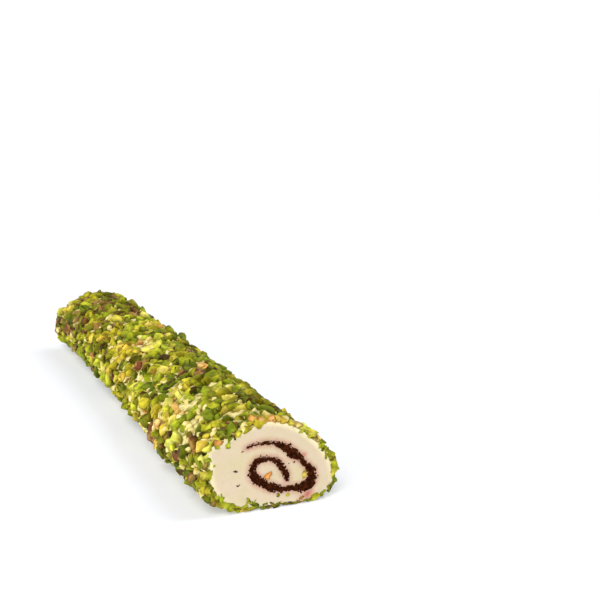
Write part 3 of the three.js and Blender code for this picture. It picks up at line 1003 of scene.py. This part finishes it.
for name, (_, tones, heart_colour, skin_colour, skin_share) in NIB_KINDS.items():
    mine = kinds == name
    piece = joined_copies(name, forms, which[mine], centres[mine], frames[mine], sizes[mine], draw)
    finish = kernel_finish(name, tones, heart_colour, skin_colour, skin_share)
    finish_piece(piece, finish, "pistachio_nougat")
    select_only(piece)
    bpy.ops.object.shade_smooth_by_angle(angle=math.radians(NIB_SMOOTH_DEG))

# ------------------------------
# Nougat squeezed up between the nuts when the roll was pressed into them: small soft lumps and thin
# ridges of it, paler and yellower than on the cut faces, partly nut dust and partly painted light for
# the less lit flanks, more of them towards the clean cut end.
# ------------------------------
SMEAR_FORMS = 5
SMEAR_SEGMENTS = 7
SMEAR_RINGS = 5
SMEAR_WOBBLE = 0.45
SMEAR_WOBBLE_RATE = 1.4
SMEAR_COATS = 0.4           # how deep, in coats, before the depth in the next table
SMEAR_LEAN = 0.3
SMEAR_CROWDING = 1.7        # 1 spreads them evenly along the roll, more crowds them at the cut end
SMEAR_SHORT_MM = 1
# How many, how deep in mm, and half length, half width and half height in mm.
SMEARS = {
    "lumps": (380, 0.95, (0.8, 1.7), (0.5, 1.1), (0.9, 1.4)),
    "strings": (200, 0.80, (1.5, 3.0), (0.2, 0.4), (0.6, 0.9)),
}


def smear_form(seed):
    """A soft lump, bent a little to one side or the other, or straight."""
    bpy.ops.mesh.primitive_uv_sphere_add(segments=SMEAR_SEGMENTS, ring_count=SMEAR_RINGS, radius=1)
    form = form_of(bpy.context.object)
    points = form["points"]
    spots = [Vector(point) * SMEAR_WOBBLE_RATE + Vector((0, seed, 0)) for point in points]
    points *= [[1 + SMEAR_WOBBLE * noise.noise(spot)] for spot in spots]
    points[:, 1] += (seed % 3 - 1) * points[:, 0] ** 2
    return form


parts = []
for count, depth_mm, *half_sizes_mm in SMEARS.values():
    laid = np.column_stack([
        draw.uniform(0, 1, count),
        (2 * draw.uniform(0, 1, count) ** SMEAR_CROWDING - 1) * (LENGTH / 2 / MM - SMEAR_SHORT_MM),
        draw.uniform(0, math.pi, count),
        *(draw.uniform(*sizes_mm, count) for sizes_mm in half_sizes_mm),
    ])
    parts.append(set_on_roll(laid, SMEAR_COATS, depth_mm * MM, SMEAR_LEAN, draw))
centres, frames, sizes = (np.concatenate(column) for column in zip(*parts))
smear_forms = [smear_form(seed) for seed in range(SMEAR_FORMS)]
which = draw.integers(0, SMEAR_FORMS, len(centres))
smears = joined_copies("nougat_smears", smear_forms, which, centres, frames, sizes, draw)
lightened_smear_cream, tree, shader = new_material("smeared_nougat", 0.6, 0.2)
# Partly painted light: paler than the cut faces' nougat, because the flanks get less light; partly
# yellowed by nut dust.
dusted = colour_ramp(tree, add_noise(tree, 500.0, 3.0), (0.35, "c4b058"), (0.65, "eade9c"))
tree.links.new(dusted, shader.inputs["Base Color"])
finish_piece(smears, lightened_smear_cream, "pistachio_nougat")
select_only(smears)
bpy.ops.object.shade_smooth()

# ------------------------------
# Cocoa crumbs: the knife has dragged grains of the filling out along its edges on both cuts, and
# left a few specks lying loose on the nougat.
# ------------------------------
CRUMB_FORMS = 4
CRUMB_ROUGHNESS = (0.7, 1.15)
CRUMBS_PER_CUT = 420
CRUMB_HALF_MM = (0.16, 0.42)
CRUMB_STRETCH = (0.6, 1.6)
CRUMB_STRAY_MM = 0.18
CRUMB_PROUD = 0.02 * MM
CRUMB_FULL_AT = 1.8 * MM    # where the filling is thinner than this, its crumbs are smaller
CRUMB_SIZE_LIMITS = (0.35, 1.1)
LOOSE_SPECKS_MM = (
    (-10.8, 13.5), (-10.5, 13.3), (-9.5, 9.0), (-10.0, 8.8),
    (2.4, 3.6), (6.1, 13.4), (7.9, 13.6), (11.3, 9.8),
)


def crumb_form(seed):
    """A rough grain."""
    bpy.ops.mesh.primitive_ico_sphere_add(subdivisions=1, radius=1)
    form = form_of(bpy.context.object)
    rough = np.random.default_rng(seed).uniform(*CRUMB_ROUGHNESS, (len(form["points"]), 1))
    form["points"] *= rough
    return form


crumb_forms = [crumb_form(seed) for seed in range(CRUMB_FORMS)]
parts = []
thickness = []
for end in (-1, 1):
    point, sideways = along_swirl(draw.uniform(0, 1, CRUMBS_PER_CUT))
    thickness += [*point[:, 2], *np.full(len(LOOSE_SPECKS_MM), CRUMB_FULL_AT)]
    edge = draw.choice([-1, 1], CRUMBS_PER_CUT) * (point[:, 2] / 2 + SWIRL_THICKER)
    edge += draw.normal(0, CRUMB_STRAY_MM * MM, CRUMBS_PER_CUT)
    specks = np.array(LOOSE_SPECKS_MM) * MM
    x = np.concatenate([point[:, 0] + sideways[:, 0] * edge, specks[:, 0]])
    z = np.concatenate([point[:, 1] + sideways[:, 1] * edge, specks[:, 1]])
    y = np.full(len(x), end * (LENGTH / 2 + CRUMB_PROUD))
    parts.append(np.column_stack(on_roll(x, y, z)))
centres = np.concatenate(parts)
turns = np.linalg.qr(draw.normal(size=(len(centres), 3, 3)))[0]
turns *= np.linalg.det(turns)[:, None, None]
halves = draw.uniform(*CRUMB_HALF_MM, (len(centres), 1)) * MM
halves = halves * draw.uniform(*CRUMB_STRETCH, (len(centres), 3))
halves *= np.clip(np.array(thickness) / CRUMB_FULL_AT, *CRUMB_SIZE_LIMITS)[:, None]
which = draw.integers(0, CRUMB_FORMS, len(centres))
crumbs = joined_copies("cocoa_crumbs", crumb_forms, which, centres, turns, halves, draw)
finish_piece(crumbs, cocoa, "cocoa_swirl")
